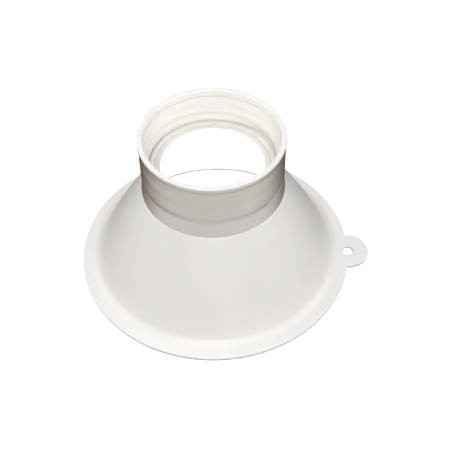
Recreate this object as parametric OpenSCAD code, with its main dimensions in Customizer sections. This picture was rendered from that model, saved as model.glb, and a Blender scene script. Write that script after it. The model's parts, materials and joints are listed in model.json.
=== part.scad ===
// Screw-on wide-mouth funnel, standing on its brim with the threaded collar up.
// The origin is the centre of the mouth, on the plane that the brim rests on.
// +Z points up through the throat, and +X points to the hang tab.

/* [Brim] */
// Outer diameter of the brim
brim_d = 112; // [100:1:120]
// Thickness of the brim and the hang tab
brim_t = 1.5; // [1.2:0.1:2]
// Rounding of the brim's outer edge
brim_edge_r = 0.4; // [0.2:0.1:0.6]

/* [Cone] */
// Outer diameter of the cone, carried down to the plane the brim rests on
cone_foot_d = 101.4; // [92:0.2:102]
// Outer diameter of the cone where the collar stands on it
cone_top_d = 56.4; // [56:0.1:60]
// Height of the shoulder that the collar stands on
shoulder_h = 40.5; // [36:0.5:44]
// How far the wall bulges beyond a straight cone, halfway up
cone_crown = 0.73; // [0:0.01:1.5]
// Wall thickness of the cone
cone_wall_t = 2; // [1.5:0.1:2.4]
// Height at which the wall starts to curve out into the brim
fillet_top_h = 4.4; // [3.5:0.1:5]

/* [Hang tab] */
// Radius of the tab, centred on the brim's edge
tab_r = 8.6; // [7:0.1:10]
// Diameter of the hole in the tab
tab_hole_d = 4.4; // [3:0.1:6]

/* [Spigot] */
// Outer diameter of the spigot inside the collar
spigot_d = 51.1; // [50.5:0.1:51.2]
// Wall thickness of the spigot
spigot_wall_t = 2; // [1.6:0.1:2.4]
// Height of the top of the spigot
spigot_top_h = 49; // [48:0.1:49.2]
// Height of the ring bead that snaps into the collar
bead_h = 45; // [44:0.1:46]
// How far the bead stands out
bead_out = 0.4; // [0.2:0.1:0.6]

/* [Collar] */
// Height of the rim above the plane the brim rests on
rim_h = 66; // [62:0.5:70]
// Outer diameter of the collar
collar_d = 55.7; // [55.2:0.1:56]
// Outer diameter of the soft bead round the rim
rim_d = 56.2; // [55.8:0.1:56.6]
// Inner diameter of the collar, at the bottom of the thread
collar_bore_d = 51.3; // [51.2:0.1:51.4]
// Outer diameter of the collar's foot, where the plain band starts
band_d = 56.4; // [55.8:0.1:57]
// Outer diameter of the waist that the band narrows to
waist_d = 55; // [54.6:0.1:55.6]
// Inner diameter of the plain entry under the rim
entry_d = 52; // [51.9:0.1:52.4]
// Height of the bottom of the entry
entry_h = 63; // [62.9:0.1:64]
// Height of the waist, at the top of the plain band
waist_h = 47.2; // [46:0.1:48]
// Height where the wall has widened again above the waist
waist_end_h = 50.6; // [49.5:0.1:52]
// Rounding of the rim's outer edge
rim_edge_r = 0.5; // [0.3:0.1:0.8]

/* [Throat] */
// Diameter of the throat
throat_d = 40.2; // [36:0.1:42]
// Outer diameter of the raised lip round the throat
lip_d = 44.6; // [43:0.1:45]
// Height of the top of the lip
lip_h = 51.2; // [51:0.1:52]
// Height of the seat that the sealing ring lies on
seat_h = 50.6; // [50.3:0.1:50.8]
// Height of the underside of the seat plate
plate_under_h = 49.35; // [49.25:0.05:49.5]

/* [Thread] */
// Rise of the thread in one turn
thread_pitch = 6; // [4:0.5:7]
// How far the thread stands in from the collar's wall
thread_depth = 1.05; // [0.8:0.05:1.1]
// Height of the thread's ridge at the wall
thread_ridge_h = 5; // [3:0.1:5.2]
// Height of the thread's centre line where it starts under the rim
thread_start_h = 60.3; // [59:0.1:60.4]
// Height of the thread's centre line where it runs out into the seat plate
thread_end_h = 50.8; // [50.7:0.1:52]
// Direction of the thread's start, seen from above, from +X
thread_start_angle = -104; // [-180:1:180]

/* [Sealing ring] */
// Inner diameter of the ring
ring_bore_d = 44.8; // [44.7:0.1:45.5]
// Outer diameter of the ring
ring_d = 48.8; // [47:0.1:49]
// Thickness of the ring
ring_t = 1; // [0.8:0.1:1.5]

/* [Hidden] */
$fn = 144;

// Steps along a curved stretch of an outline
arc_steps = 8;
wall_steps = 12;
// Lean of the cone's wall from upright, and the wall's thickness measured level
cone_lean = atan((cone_foot_d - cone_top_d) / 2 / shoulder_h);
wall_across = cone_wall_t / cos(cone_lean);
// Height at which the cone's inside turns in to the spigot, and the height where it gets there
throat_turn_h = shoulder_h - 4;
spigot_root_h = shoulder_h - 1.5;
// Half the height of the bead, and the play between the bead and its groove
bead_half_h = 0.5;
groove_play = 0.1;
// Rounding of the rim's inner edge, and how far down the bead reaches and where it has faded out
entry_edge_r = 0.3;
rim_bead_h = 1.5;
rim_fade_h = 2.5;
// Chamfer at the top of the spigot
spigot_chamfer = 0.4;
// Thread: steps round its section and along it, depth of its foot in the wall, and its run-out
thread_arc_steps = 7;
thread_bury = 0.6;
thread_step_angle = 10;
thread_fade_angle = 30;
plate_middle_h = (seat_h + plate_under_h) / 2;
// A little extra, so that a cut passes right through
through = 1;

// Outer radius of the cone at a height
function wall_r(h) =
    let (part = h / shoulder_h)
    cone_foot_d / 2 + (cone_top_d - cone_foot_d) / 2 * part + 4 * cone_crown * part * (1 - part);

// Lean of the outer wall from upright at a height
function wall_lean(h) =
    atan((cone_foot_d - cone_top_d) / 2 / shoulder_h - 4 * cone_crown * (1 - 2 * h / shoulder_h) / shoulder_h);

// Inner radius of the cone at a height
function inner_r(h) = wall_r(h) - wall_across;

// Points of an arc about a centre, from one angle to another
function arc(centre, radius, from, to, steps = arc_steps) = [
    for (i = [0 : steps])
        let (angle = from + (to - from) * i / steps)
        centre + radius * [cos(angle), sin(angle)]
];

// Right half of the funnel body's section
module body_outline() {
    lean = wall_lean(fillet_top_h);
    fillet_r = (fillet_top_h - brim_t) / (1 - sin(lean));
    fillet_centre = [wall_r(fillet_top_h) + fillet_r * cos(lean), brim_t + fillet_r];
    spigot_r = spigot_d / 2;
    polygon(concat(
        [[inner_r(brim_t), 0]],
        arc([brim_d / 2 - brim_edge_r, brim_edge_r], brim_edge_r, -90, 0),
        arc([brim_d / 2 - brim_edge_r, brim_t - brim_edge_r], brim_edge_r, 0, 90),
        arc(fillet_centre, fillet_r, 270, 180 + lean),
        [for (i = [1 : wall_steps])
            let (h = fillet_top_h + (shoulder_h - fillet_top_h) * i / wall_steps)
            [wall_r(h), h]],
        [
            [spigot_r, shoulder_h],
            [spigot_r, bead_h - bead_half_h],
            [spigot_r + bead_out, bead_h],
            [spigot_r, bead_h + bead_half_h],
            [spigot_r, spigot_top_h - spigot_chamfer],
            [spigot_r - spigot_chamfer, spigot_top_h],
            [spigot_r - spigot_wall_t, spigot_top_h],
            [spigot_r - spigot_wall_t, spigot_root_h]
        ],
        [for (i = [0 : wall_steps])
            let (h = throat_turn_h + (brim_t - throat_turn_h) * i / wall_steps)
            [inner_r(h), h]]
    ));
}

// Cone, brim, hang tab and spigot, moulded in one
module funnel_body() color([0.93, 0.93, 0.91]) {
    difference() {
        union() {
            rotate_extrude() body_outline();
            difference() {
                translate([brim_d / 2, 0, 0]) cylinder(h = brim_t, r = tab_r);
                translate([0, 0, -through]) cylinder(h = brim_t + 2 * through, r = brim_d / 2 - through);
            }
        }
        translate([brim_d / 2, 0, -through]) cylinder(h = brim_t + 2 * through, d = tab_hole_d);
    }
}

// Right half of the collar's section, with the seat plate and without the thread
module collar_outline() {
    bore_r = collar_bore_d / 2;
    entry_r = entry_d / 2;
    groove_half_h = bead_half_h + groove_play;
    polygon(concat(
        [
            [bore_r, shoulder_h],
            [band_d / 2, shoulder_h],
            [waist_d / 2, waist_h],
            [collar_d / 2, waist_end_h],
            [collar_d / 2, rim_h - rim_fade_h],
            [rim_d / 2, rim_h - rim_bead_h]
        ],
        arc([rim_d / 2 - rim_edge_r, rim_h - rim_edge_r], rim_edge_r, 0, 90),
        arc([entry_r + entry_edge_r, rim_h - entry_edge_r], entry_edge_r, 90, 180),
        [
            [entry_r, entry_h],
            [bore_r, entry_h],
            [bore_r, seat_h],
            [lip_d / 2, seat_h],
            [lip_d / 2, lip_h],
            [throat_d / 2, lip_h],
            [throat_d / 2, plate_under_h],
            [bore_r, plate_under_h],
            [bore_r, bead_h + groove_half_h],
            [bore_r + bead_out, bead_h],
            [bore_r, bead_h - groove_half_h]
        ]
    ));
}

// Corners of the thread's rounded section at a turn. Its foot is buried in the wall, and so is all of it
// where the thread fades out. Low down the section is cut off inside the seat plate.
function thread_section(turn, turn_end) =
    let (
        fade = max(0, min(1, turn / thread_fade_angle, (turn_end - turn) / thread_fade_angle)),
        foot_r = collar_bore_d / 2 + thread_bury,
        reach = thread_bury / 2 + (thread_depth + thread_bury / 2) * fade,
        middle = thread_start_h - thread_pitch * turn / 360,
        angle = thread_start_angle - turn
    )
    [for (i = [0 : thread_arc_steps])
        let (
            tilt = 90 - 180 * i / thread_arc_steps,
            r = foot_r - reach * cos(tilt),
            h = max(middle + thread_ridge_h / 2 * sin(tilt), plate_middle_h)
        )
        [r * cos(angle), r * sin(angle), h]];

// Ridge of the thread, swept down a right-handed helix
module thread_ridge() {
    turn_end = 360 * (thread_start_h - thread_end_h) / thread_pitch;
    steps = round(turn_end / thread_step_angle);
    corners = thread_arc_steps + 1;
    points = [for (i = [0 : steps]) each thread_section(turn_end * i / steps, turn_end)];
    sides = [for (i = [0 : steps - 1], k = [0 : corners - 1])
        let (a = i * corners + k, b = i * corners + (k + 1) % corners)
        each [[a, a + corners, b + corners], [a, b + corners, b]]];
    start_cap = [[for (k = [0 : corners - 1]) k]];
    end_cap = [[for (k = [corners - 1 : -1 : 0]) steps * corners + k]];
    polyhedron(points, concat(start_cap, sides, end_cap));
}

// Screw collar: outer ring, thread, seat plate and throat
module threaded_collar() color([0.9, 0.88, 0.86]) {
    rotate_extrude() collar_outline();
    thread_ridge();
}

// Flat ring that seals the bottle's mouth, round the raised lip
module sealing_ring() color([0.95, 0.93, 0.88]) {
    translate([0, 0, seat_h]) difference() {
        cylinder(h = ring_t, d = ring_d);
        translate([0, 0, -through]) cylinder(h = ring_t + 2 * through, d = ring_bore_d);
    }
}

funnel_body();
threaded_collar();
sealing_ring();
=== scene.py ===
import json
import math

import bpy
import numpy as np
from mathutils import Matrix, Vector


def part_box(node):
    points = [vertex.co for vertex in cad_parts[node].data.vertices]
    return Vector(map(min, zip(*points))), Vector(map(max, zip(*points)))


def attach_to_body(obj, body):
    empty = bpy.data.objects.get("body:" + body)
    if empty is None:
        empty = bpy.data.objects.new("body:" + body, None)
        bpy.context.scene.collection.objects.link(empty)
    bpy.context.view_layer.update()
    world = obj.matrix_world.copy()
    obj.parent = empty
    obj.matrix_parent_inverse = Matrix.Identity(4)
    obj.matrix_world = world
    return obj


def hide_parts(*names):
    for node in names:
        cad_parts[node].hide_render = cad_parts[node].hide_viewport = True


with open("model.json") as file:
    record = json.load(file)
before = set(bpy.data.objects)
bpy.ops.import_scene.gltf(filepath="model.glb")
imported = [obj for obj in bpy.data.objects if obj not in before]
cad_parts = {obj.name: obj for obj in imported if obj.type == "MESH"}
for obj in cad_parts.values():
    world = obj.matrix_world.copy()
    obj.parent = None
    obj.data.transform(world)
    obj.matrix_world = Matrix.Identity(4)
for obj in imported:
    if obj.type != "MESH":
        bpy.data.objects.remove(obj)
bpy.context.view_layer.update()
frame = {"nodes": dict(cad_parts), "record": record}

MM = 0.001

# ---------------------------------------------------------------- sizes taken from the frame, in mm

_, body_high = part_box("funnel_body")
collar_low, collar_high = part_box("threaded_collar")
ring_low, ring_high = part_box("sealing_ring")
mounts = {m["name"]: m for m in frame["record"]["mounts"]}

TAB_X = mounts["hang_hole"]["pos_m"][0] / MM
TAB_HOLE_R = mounts["hang_hole"]["dims"]["r_mm"]
MOUTH_R = mounts["mouth"]["dims"]["r_mm"]
THROAT_R = mounts["throat"]["dims"]["r_mm"]
ENTRY_R = mounts["neck_mouth"]["dims"]["r_mm"]
BORE_R = mounts["neck_thread"]["dims"]["r_mm"]
BRIM_R = TAB_X
BRIM_T = mounts["mouth"]["dims"]["length_mm"]
TAB_R = round(body_high.x / MM, 1) - TAB_X
SHOULDER_Z = round(collar_low.z / MM, 2)
SPIGOT_Z = round(body_high.z / MM, 2)
RIM_Z = round(collar_high.z / MM, 2)
SEAT_Z = round(ring_low.z / MM, 2)
RING_Z = round(ring_high.z / MM, 2)

# ---------------------------------------------------------------- shape details, in mm

BRIM_EDGE_R = 0.4
CONE_FOOT_R = 50.7
CONE_TOP_R = 28.2
CONE_CROWN = 0.73
CONE_WALL_T = 2.0
FILLET_TOP_Z = 4.4
NOTCH_R = 0.5
SPIGOT_R = 25.55
SPIGOT_WALL_T = 2.0
BEAD_Z = 45.0
BEAD_OUT = 0.4
BEAD_HALF_H = 0.5
BEAD_FLAT_H = 0.1
GROOVE_PLAY = 0.1
SPIGOT_CHAMFER = 0.4
SPIGOT_TURN_H = 4
SPIGOT_ROOT_H = 1.5
HOLE_FLARE = 0.25
RING_CORNER = 0.25
COLLAR_R = 27.85
RIM_R = 28.1
FOOT_R = 28.2
WAIST_R = 27.5
WAIST_Z = 47.2
WAIST_END_Z = 50.6
RIM_BEAD_Z = 64.5
RIM_FADE_Z = 63.2
RIM_EDGE_R = 0.5
ENTRY_EDGE_R = 0.3
ENTRY_Z = 63.0
LIP_R = 22.3
LIP_Z = 51.2
PLATE_UNDER_Z = 49.35
SOFT_EDGE = 0.15

THREAD_PITCH = 6.0
THREAD_DEPTH = 1.05
THREAD_HALF_H = 2.7
THREAD_START_Z = 60.3
THREAD_END_Z = 50.8
THREAD_START_ANGLE = math.radians(-104)
THREAD_FADE = math.radians(30)

SINK_DEPTH = 0.16
SINK_FAINTEST = 0.35
SINK_ABOVE_THREAD = 0.7
SINK_HALF_H = 2.0
SINK_TURN = math.radians(680)
SINK_REACH = math.radians(110)
FLASH_OUT = 0.2
FLASH_Z = 48.1
FLASH_MIDDLE = math.radians(-5)
FLASH_HALF = math.radians(37)
FLASH_HALF_H = 0.3

# Camera: degrees, distances in brim radii, and focal length as a share of the picture's width
CAMERA_TURN = 4.0
CAMERA_BACK = 4.4322
CAMERA_UP = 5.3017
CAMERA_PITCH = 48.572
CAMERA_YAW = 0.986
CAMERA_ROLL = -1.137
FOCAL_SHARE = 907.47 / 450

FLOOR_HALF_M = 15.0

FULL = 2 * math.pi

# Painted shade: the dark, warm tint of the collar's wall where it is seen at a low angle, standing in for the
# shade on its sides and the light passing through it
PAINTED_WALL_SHADE = (0.27, 0.20, 0.14)


def wall_r(z):
    """Outer radius of the cone at a height."""
    part = z / SHOULDER_Z
    return CONE_FOOT_R + (CONE_TOP_R - CONE_FOOT_R) * part + 4 * CONE_CROWN * part * (1 - part)


def arc(centre_r, centre_z, radius, start, end, steps):
    """Points (r, z) of an arc in a section, with angles in degrees."""
    angles = np.radians(np.linspace(start, end, steps + 1))
    return [(centre_r + radius * math.cos(a), centre_z + radius * math.sin(a)) for a in angles]


def smooth(t):
    """0 to 1 with level ends."""
    t = np.clip(t, 0, 1)
    return t * t * (3 - 2 * t)


def loft(name, rows, flip=False):
    """Closed ring of rows. rows[i][j] is the point (x, y, z), in mm, of row i in column j, and both wrap."""
    rows = np.asarray(rows, float) * MM
    count, columns = rows.shape[:2]
    faces = []
    for i in range(count):
        nxt = (i + 1) % count
        for j in range(columns):
            right = (j + 1) % columns
            quad = (i * columns + j, i * columns + right, nxt * columns + right, nxt * columns + j)
            faces.append(quad[::-1] if flip else quad)
    mesh = bpy.data.meshes.new(name)
    mesh.from_pydata(rows.reshape(-1, 3).tolist(), [], faces)
    mesh.validate()
    piece = bpy.data.objects.new(name, mesh)
    bpy.context.scene.collection.objects.link(piece)
    return piece


def finish_surface(piece, sharp_degrees=40):
    """Smooth shading, kept crisp at the hard corners."""
    mesh = piece.data
    mesh.polygons.foreach_set("use_smooth", [True] * len(mesh.polygons))
    mesh.set_sharp_from_angle(angle=math.radians(sharp_degrees))
    mesh.update()
    return piece


def apply_modifiers(piece):
    depsgraph = bpy.context.evaluated_depsgraph_get()
    evaluated = piece.evaluated_get(depsgraph)
    mesh = bpy.data.meshes.new_from_object(evaluated)
    piece.modifiers.clear()
    piece.data = mesh


# ---------------------------------------------------------------- funnel body

def tab_outline(steps=64, fillet_steps=5):
    """Points and outward normals of the tab's outline, from one notch to the other, with a fillet at each."""
    tab = np.array([TAB_X, 0.0])
    reach_brim, reach_tab = BRIM_R + NOTCH_R, TAB_R + NOTCH_R
    x = (reach_brim ** 2 - reach_tab ** 2 + TAB_X ** 2) / (2 * TAB_X)
    y = math.sqrt(reach_brim ** 2 - x ** 2)
    upper = np.array([x, y])
    to_brim = math.atan2(-y, -x)
    to_tab = math.atan2(tab[1] - y, tab[0] - x)
    points, normals = [], []
    turn = (to_tab - to_brim) % FULL
    for a in to_brim + turn * np.linspace(0, 1, fillet_steps + 1):
        direction = np.array([math.cos(a), math.sin(a)])
        points.append(upper + NOTCH_R * direction)
        normals.append(-direction)
    start = math.atan2(y - tab[1], x - tab[0])
    for a in np.linspace(start, 0, steps // 2 + 1)[1:]:
        direction = np.array([math.cos(a), math.sin(a)])
        points.append(tab + TAB_R * direction)
        normals.append(direction)
    points, normals = points[::-1], normals[::-1]
    mirror = np.array([1, -1])
    lower = [(p * mirror, n * mirror) for p, n in zip(points[:0:-1], normals[:0:-1])]
    return ([p for p, _ in lower] + points, [n for _, n in lower] + normals)


def brim_columns(main_steps=336):
    """For each column: its direction from the axis, its point on the brim's outline and the normal there."""
    tab_points, tab_normals = tab_outline()
    half = math.atan2(tab_points[-1][1], tab_points[-1][0])
    tab_angles = np.linspace(-half, half, len(tab_points))
    main_angles = np.linspace(half, FULL - half, main_steps + 1)[1:-1]
    main = np.stack([np.cos(main_angles), np.sin(main_angles)], 1)
    angles = np.concatenate([tab_angles, main_angles])
    points = np.concatenate([np.array(tab_points), BRIM_R * main])
    normals = np.concatenate([np.array(tab_normals), main])
    return angles, points, normals


def funnel_body():
    angles, outline, normals = brim_columns()
    round_dir = np.stack([np.cos(angles), np.sin(angles)], 1)
    slope = (wall_r(FILLET_TOP_Z + 0.01) - wall_r(FILLET_TOP_Z - 0.01)) / 0.02
    lean = math.degrees(math.atan(-slope))
    fillet_r = (FILLET_TOP_Z - BRIM_T) / (1 - math.sin(math.radians(lean)))
    fillet_centre = wall_r(FILLET_TOP_Z) + fillet_r * math.cos(math.radians(lean))
    across = CONE_WALL_T / math.cos(math.atan((CONE_FOOT_R - CONE_TOP_R) / SHOULDER_Z))
    turn_z, root_z = SHOULDER_Z - SPIGOT_TURN_H, SHOULDER_Z - SPIGOT_ROOT_H
    inner_spigot = SPIGOT_R - SPIGOT_WALL_T

    def ring(r, z):
        return np.column_stack([round_dir * r, np.full(len(angles), z)])

    def edge(inset, z):
        return np.column_stack([outline - normals * inset, np.full(len(angles), z)])

    rows = [ring(MOUTH_R + SOFT_EDGE, 0)]
    rows += [edge(BRIM_EDGE_R * (1 - math.sin(a)), BRIM_EDGE_R * (1 - math.cos(a)))
             for a in np.radians(np.linspace(0, 90, 7))]
    rows += [edge(BRIM_EDGE_R * (1 - math.cos(a)), BRIM_T - BRIM_EDGE_R * (1 - math.sin(a)))
             for a in np.radians(np.linspace(0, 90, 7))]
    section = arc(fillet_centre, BRIM_T + fillet_r, fillet_r, 270, 180 + lean, 14)
    section += [(wall_r(z), z) for z in np.linspace(FILLET_TOP_Z, SHOULDER_Z - SOFT_EDGE, 40)[1:]]
    section += [
        (CONE_TOP_R - SOFT_EDGE, SHOULDER_Z),
        (SPIGOT_R, SHOULDER_Z),
        (SPIGOT_R, BEAD_Z - BEAD_HALF_H),
        (SPIGOT_R + BEAD_OUT, BEAD_Z - BEAD_FLAT_H),
        (SPIGOT_R + BEAD_OUT, BEAD_Z + BEAD_FLAT_H),
        (SPIGOT_R, BEAD_Z + BEAD_HALF_H),
        (SPIGOT_R, SPIGOT_Z - SPIGOT_CHAMFER),
        (SPIGOT_R - SPIGOT_CHAMFER, SPIGOT_Z),
        (inner_spigot, SPIGOT_Z),
        (inner_spigot, root_z),
    ]
    section += [(wall_r(z) - across, z) for z in np.linspace(turn_z, BRIM_T, 36)]
    section += [(MOUTH_R, SOFT_EDGE)]
    rows += [ring(r, z) for r, z in section]
    body = loft("funnel_body_moulding", rows)

    cut_tab_hole(body)
    return finish_surface(body)


def cut_tab_hole(body, steps=64):
    """Cuts the hole through the tab, a little wider at both faces."""
    angles = np.linspace(0, FULL, steps, endpoint=False)
    below, above = -1, BRIM_T + 1
    wide = TAB_HOLE_R + 1
    section = [
        (0.001, below),
        (wide, below),
        (TAB_HOLE_R, HOLE_FLARE),
        (TAB_HOLE_R, BRIM_T - HOLE_FLARE),
        (wide, above),
        (0.001, above),
    ]
    rows = [np.column_stack([TAB_X + r * np.cos(angles), r * np.sin(angles), np.full(steps, z)])
            for r, z in section]
    cutter = loft("hole_cutter", rows)
    cut = body.modifiers.new("hole", "BOOLEAN")
    cut.operation = "DIFFERENCE"
    cut.object = cutter
    cut.solver = "EXACT"
    apply_modifiers(body)
    bpy.data.objects.remove(cutter)


# ---------------------------------------------------------------- threaded collar

def helix_field(angles, z, start_z, half_h, profile, end_turn):
    """Value of a section swept down the thread's helix, at each angle (columns) and height (rows)."""
    value = np.zeros((len(z), len(angles)))
    turns = int(end_turn / FULL) + 1
    for k in range(turns + 1):
        turn = (THREAD_START_ANGLE - angles) % FULL + k * FULL
        fade = smooth(turn / THREAD_FADE) * smooth((end_turn - turn) / THREAD_FADE)
        middle = start_z - THREAD_PITCH * turn / FULL
        u = (z[:, None] - middle[None, :]) / half_h
        value = np.maximum(value, profile(u) * fade[None, :])
    return value


def thread_profile(u):
    """Rounded ridge: 0 beyond u = -1 and 1, full round the middle."""
    above = smooth((1 - u) / 0.75)
    below = smooth((1 + u) / 0.5)
    return np.minimum(above, below)


def collar_wall(z):
    """Outer radius of the collar at a height: foot, waist, plain wall and rim bead, without sink marks."""
    band = FOOT_R + (WAIST_R - FOOT_R) * np.clip((z - SHOULDER_Z) / (WAIST_Z - SHOULDER_Z), 0, 1)
    widened = (COLLAR_R - WAIST_R) * smooth((z - WAIST_Z) / (WAIST_END_Z - WAIST_Z))
    bead = (RIM_R - COLLAR_R) * smooth((z - RIM_FADE_Z) / (RIM_BEAD_Z - RIM_FADE_Z))
    return band + widened + bead


def sink_marks(angles, z):
    """Depth of the soft marks that the thread inside leaves on the outside of the wall."""
    def hollow(u):
        return np.exp(-3 * u * u)

    marks = helix_field(angles, z, THREAD_START_Z + SINK_ABOVE_THREAD, SINK_HALF_H, hollow, SINK_TURN)
    from_start = (THREAD_START_ANGLE - angles) % FULL
    near_start = smooth((SINK_REACH - np.abs(from_start - SINK_REACH)) / SINK_REACH)
    strength = SINK_DEPTH * (SINK_FAINTEST + (1 - SINK_FAINTEST) * near_start)
    clear = smooth((z - WAIST_END_Z + 0.8) / 1.2) * smooth((RIM_BEAD_Z - z) / 1.0)
    return marks * strength[None, :] * clear[:, None]


def angles_from(angles, middle):
    """Signed turn from a middle direction to each angle, within half a turn."""
    return (angles - middle + math.pi) % FULL - math.pi


def flash_line(angles, z):
    """Height of the thin proud line that the mould left above the waist, on the tab's side."""
    along = smooth((angles_from(angles, FLASH_MIDDLE) + FLASH_HALF) / 0.06)
    along *= smooth((FLASH_HALF - angles_from(angles, FLASH_MIDDLE)) / 0.5)
    return FLASH_OUT * np.exp(-((z - FLASH_Z) / FLASH_HALF_H) ** 4)[:, None] * along[None, :]


def threaded_collar(columns=512):
    angles = np.linspace(0, FULL, columns, endpoint=False)
    end_turn = FULL * (THREAD_START_Z - THREAD_END_Z) / THREAD_PITCH

    inner_z = np.linspace(RIM_Z - ENTRY_EDGE_R - 0.1, SEAT_Z, 110)
    inner_base = np.where(inner_z > ENTRY_Z, ENTRY_R, BORE_R)
    ridge = helix_field(angles, inner_z, THREAD_START_Z, THREAD_HALF_H, thread_profile, end_turn)
    inner_r = inner_base[:, None] - THREAD_DEPTH * ridge

    outer_z = np.linspace(SHOULDER_Z + SOFT_EDGE, RIM_Z - RIM_EDGE_R - 0.1, 180)
    outer_r = collar_wall(outer_z)[:, None] - sink_marks(angles, outer_z) + flash_line(angles, outer_z)

    def ring(r, z):
        return np.column_stack([np.cos(angles) * r, np.sin(angles) * r, np.full(columns, z)])

    rows = [ring(BORE_R, SHOULDER_Z), ring(FOOT_R - SOFT_EDGE, SHOULDER_Z)]
    rows += [ring(r, z) for r, z in zip(outer_r, outer_z)]
    rows += [ring(r, z) for r, z in arc(RIM_R - RIM_EDGE_R, RIM_Z - RIM_EDGE_R, RIM_EDGE_R, 0, 90, 8)]
    entry_edge = arc(ENTRY_R + ENTRY_EDGE_R, RIM_Z - ENTRY_EDGE_R, ENTRY_EDGE_R, 90, 180, 5)
    rows += [ring(r, z) for r, z in entry_edge]
    rows += [ring(r, z) for r, z in zip(inner_r, inner_z)]
    rows += [ring(r, z) for r, z in [
        (LIP_R, SEAT_Z),
        (LIP_R, LIP_Z - SOFT_EDGE),
        (LIP_R - SOFT_EDGE, LIP_Z),
        (THROAT_R + SOFT_EDGE, LIP_Z),
        (THROAT_R, LIP_Z - SOFT_EDGE),
        (THROAT_R, PLATE_UNDER_Z + SOFT_EDGE),
        (THROAT_R + SOFT_EDGE, PLATE_UNDER_Z),
        (BORE_R, PLATE_UNDER_Z),
        (BORE_R, BEAD_Z + BEAD_HALF_H + GROOVE_PLAY),
        (BORE_R + BEAD_OUT, BEAD_Z + BEAD_FLAT_H + GROOVE_PLAY),
        (BORE_R + BEAD_OUT, BEAD_Z - BEAD_FLAT_H - GROOVE_PLAY),
        (BORE_R, BEAD_Z - BEAD_HALF_H - GROOVE_PLAY),
    ]]
    return finish_surface(loft("collar_moulding", rows))


# ---------------------------------------------------------------- sealing ring

def node_radii(node):
    """Inner and outer radius of a round CAD node, in mm."""
    corners = np.array([v.co for v in frame["nodes"][node].data.vertices])
    radii = np.hypot(corners[:, 0], corners[:, 1]) / MM
    return round(float(radii.min()), 2), round(float(radii.max()), 2)


def sealing_ring(columns=256):
    angles = np.linspace(0, FULL, columns, endpoint=False)
    inner, outer = node_radii("sealing_ring")
    corner = RING_CORNER
    section = arc(outer - corner, SEAT_Z + corner, corner, -90, 0, 4)
    section += arc(outer - corner, RING_Z - corner, corner, 0, 90, 4)
    section += arc(inner + corner, RING_Z - corner, corner, 90, 180, 4)
    section += arc(inner + corner, SEAT_Z + corner, corner, 180, 270, 4)
    rows = [np.column_stack([np.cos(angles) * r, np.sin(angles) * r, np.full(columns, z)])
            for r, z in section]
    return finish_surface(loft("seal_washer", rows))


# ---------------------------------------------------------------- materials

def new_material(name):
    material = bpy.data.materials.new(name)
    material.use_nodes = True
    nodes = material.node_tree.nodes
    return material, nodes, material.node_tree.links, nodes["Principled BSDF"]


def moulded_plastic(name, light, dark, roughness, subsurface, edge=None):
    """White moulded plastic: slight mottling of the colour and gloss, and a fine, shallow surface grain.
    edge, if given, is painted shade: the darker tint where the surface is seen at a low angle."""
    material, nodes, links, shader = new_material(name)
    place = nodes.new("ShaderNodeTexCoord")
    mottle = nodes.new("ShaderNodeTexNoise")
    mottle.inputs["Scale"].default_value = 60
    mottle.inputs["Detail"].default_value = 3
    links.new(place.outputs["Object"], mottle.inputs["Vector"])
    tint = nodes.new("ShaderNodeValToRGB")
    tint.color_ramp.elements[0].position = 0.3
    tint.color_ramp.elements[0].color = (*dark, 1)
    tint.color_ramp.elements[1].position = 0.7
    tint.color_ramp.elements[1].color = (*light, 1)
    links.new(mottle.outputs["Fac"], tint.inputs["Fac"])
    links.new(tint.outputs["Color"], shader.inputs["Base Color"])
    # Painted shade where the surface is seen at a low angle
    if edge:
        paint_edge_shade(nodes, links, tint, shader, edge)
    gloss = nodes.new("ShaderNodeMapRange")
    gloss.inputs["To Min"].default_value = roughness - 0.04
    gloss.inputs["To Max"].default_value = roughness + 0.04
    links.new(mottle.outputs["Fac"], gloss.inputs["Value"])
    links.new(gloss.outputs["Result"], shader.inputs["Roughness"])
    grain = nodes.new("ShaderNodeTexNoise")
    grain.inputs["Scale"].default_value = 1600
    grain.inputs["Detail"].default_value = 2
    links.new(place.outputs["Object"], grain.inputs["Vector"])
    bump = nodes.new("ShaderNodeBump")
    bump.inputs["Strength"].default_value = 0.08
    bump.inputs["Distance"].default_value = 0.0001
    links.new(grain.outputs["Fac"], bump.inputs["Height"])
    links.new(bump.outputs["Normal"], shader.inputs["Normal"])
    shader.inputs["IOR"].default_value = 1.49
    shader.inputs["Subsurface Weight"].default_value = subsurface
    shader.inputs["Subsurface Radius"].default_value = (1.0, 0.8, 0.6)
    shader.inputs["Subsurface Scale"].default_value = 0.002
    return material


def paint_edge_shade(nodes, links, tint, shader, edge):
    """Painted shade: blends the colour into a darker one as the surface turns away from the eye."""
    facing = nodes.new("ShaderNodeLayerWeight")
    facing.inputs["Blend"].default_value = 0.5
    painted_shade_amount = nodes.new("ShaderNodeMapRange")
    painted_shade_amount.interpolation_type = "SMOOTHSTEP"
    painted_shade_amount.inputs["From Min"].default_value = 0.4
    painted_shade_amount.inputs["From Max"].default_value = 0.95
    links.new(facing.outputs["Facing"], painted_shade_amount.inputs["Value"])
    blend = nodes.new("ShaderNodeMix")
    blend.data_type = "RGBA"
    # Colour of the painted shade
    blend.inputs["B"].default_value = (*edge, 1)
    links.new(painted_shade_amount.outputs["Result"], blend.inputs["Factor"])
    links.new(tint.outputs["Color"], blend.inputs["A"])
    links.new(blend.outputs["Result"], shader.inputs["Base Color"])


def plain_floor(name):
    """Over-exposed white sweep, with no shadow on it."""
    material, nodes, links, shader = new_material(name)
    shader.inputs["Base Color"].default_value = (0.9, 0.9, 0.9, 1)
    shader.inputs["Roughness"].default_value = 0.9
    shader.inputs["Specular IOR Level"].default_value = 0.0
    shader.inputs["Emission Color"].default_value = (1, 1, 1, 1)
    shader.inputs["Emission Strength"].default_value = 0.9
    return material


def dress(piece, material, node):
    piece.data.materials.clear()
    piece.data.materials.append(material)
    attach(piece, node)


def attach(piece, node):
    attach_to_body(piece, "root")
    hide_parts(node)


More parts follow.
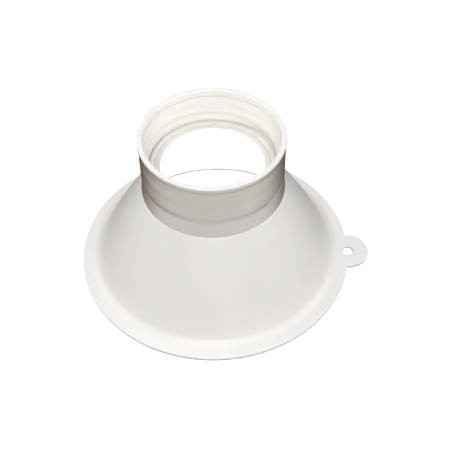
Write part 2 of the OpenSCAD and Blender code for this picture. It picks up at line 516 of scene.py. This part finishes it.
def dress_collar(collar, rim, inside, outside):
    """The rim keeps the white; the inside and the outer wall take darker copies of it as painted shade, the
    outer wall's warmer and darker still at low angles. The seat plate keeps the rim's.
    """
    mesh = collar.data
    for material in (rim, inside, outside):
        mesh.materials.append(material)
    # The inside and the outer wall get the painted-shade materials
    for face in mesh.polygons:
        radius, height = math.hypot(face.center.x, face.center.y) / MM, face.center.z / MM
        if height > RIM_Z - RIM_EDGE_R:
            face.material_index = 0
        elif radius > COLLAR_R - 1:
            face.material_index = 2
        elif height > LIP_Z + SOFT_EDGE:
            face.material_index = 1
    attach(collar, "threaded_collar")


# ---------------------------------------------------------------- stage, light and camera

def stage_floor():
    size = FLOOR_HALF_M
    mesh = bpy.data.meshes.new("floor")
    corners = [(-size, -size, 0), (size, -size, 0), (size, size, 0), (-size, size, 0)]
    mesh.from_pydata(corners, [], [(0, 1, 2, 3)])
    floor = bpy.data.objects.new("floor", mesh)
    bpy.context.scene.collection.objects.link(floor)
    mesh.materials.append(plain_floor("floor_white"))
    floor.visible_diffuse = False
    floor.visible_glossy = False


def area_light(name, place, size, power, aim=(0, 0, 0.03), shape="SQUARE"):
    data = bpy.data.lights.new(name, "AREA")
    data.shape = shape
    data.size = size
    data.energy = power
    light = bpy.data.objects.new(name, data)
    light.location = place
    light.rotation_euler = (Vector(aim) - Vector(place)).to_track_quat("-Z", "Y").to_euler()
    bpy.context.scene.collection.objects.link(light)


def softbox(name, azimuth, elevation, power, distance=1.2, size=0.9):
    """Square soft light. Azimuth 0 is the front, near the camera, and 90 is the tab's side."""
    a, e = math.radians(azimuth), math.radians(elevation)
    level, height = distance * math.cos(e), distance * math.sin(e)
    place = (level * math.sin(a), -level * math.cos(a), height)
    area_light(name, place, size, power)


def world_light(strength):
    world = bpy.data.worlds.new("dim_room")
    world.use_nodes = True
    background = world.node_tree.nodes["Background"]
    background.inputs["Color"].default_value = (1, 1, 1, 1)
    background.inputs["Strength"].default_value = strength
    bpy.context.scene.world = world


def camera():
    """The camera looks down from the front, turned a little towards the tab's side."""
    turn, pitch = math.radians(CAMERA_TURN), math.radians(CAMERA_PITCH)
    yaw, roll = math.radians(CAMERA_YAW), math.radians(CAMERA_ROLL)
    forward = Vector((math.sin(yaw) * math.cos(pitch), math.cos(yaw) * math.cos(pitch), -math.sin(pitch)))
    level = Vector((math.cos(yaw), -math.sin(yaw), 0))
    upright = level.cross(forward)
    right = math.cos(roll) * level + math.sin(roll) * upright
    up = -math.sin(roll) * level + math.cos(roll) * upright
    axes = Matrix((right, up, -forward)).transposed().to_4x4()
    place = Matrix.Translation(Vector((0, -CAMERA_BACK, CAMERA_UP)) * BRIM_R * MM)
    data = bpy.data.cameras.new("camera")
    data.sensor_width = 36
    data.lens = FOCAL_SHARE * data.sensor_width
    data.clip_start, data.clip_end = 0.01, 20
    cam = bpy.data.objects.new("camera", data)
    cam.matrix_world = Matrix.Rotation(turn, 4, "Z") @ place @ axes
    bpy.context.scene.collection.objects.link(cam)
    bpy.context.scene.camera = cam


# ---------------------------------------------------------------- assembly

camera()
white = moulded_plastic("white_moulding", (0.87, 0.85, 0.83), (0.85, 0.83, 0.81), 0.38, 0.2)
# Painted shade: a darker copy of the white for the collar's inside
painted_shade_collar_inside = moulded_plastic("painted_shade_collar_inside", (0.77, 0.745, 0.72), (0.75, 0.725, 0.70), 0.38, 0.2)
# Painted shade: a darker, warmer copy of the white for the collar's outer wall, darker still at low angles;
# the warmth stands in for light passing through the wall
painted_shade_collar_outside = moulded_plastic(
    "painted_shade_collar_outside", (0.86, 0.81, 0.765), (0.84, 0.79, 0.745), 0.34, 0.1, edge=PAINTED_WALL_SHADE)
seal_cream = moulded_plastic("seal_elastomer", (0.90, 0.875, 0.82), (0.88, 0.855, 0.80), 0.6, 0.2)
dress(funnel_body(), white, "funnel_body")
dress(sealing_ring(), seal_cream, "sealing_ring")
dress_collar(threaded_collar(), white, painted_shade_collar_inside, painted_shade_collar_outside)
stage_floor()
softbox("key", 0, 39, 10.7)
softbox("side_right", 90, 33, 6.5)
softbox("back_right", 120, 55, 0.8)
softbox("back", 180, 55, 2.4)
softbox("back_left", 240, 48, 3)
softbox("side_left", 270, 33, 4.8)
area_light("glow_inside", (0, 0, 0.001), 0.095, 0.044, (0, 0, 1), "DISK")
world_light(0.02)
scene = bpy.context.scene
scene.view_settings.view_transform = "Standard"
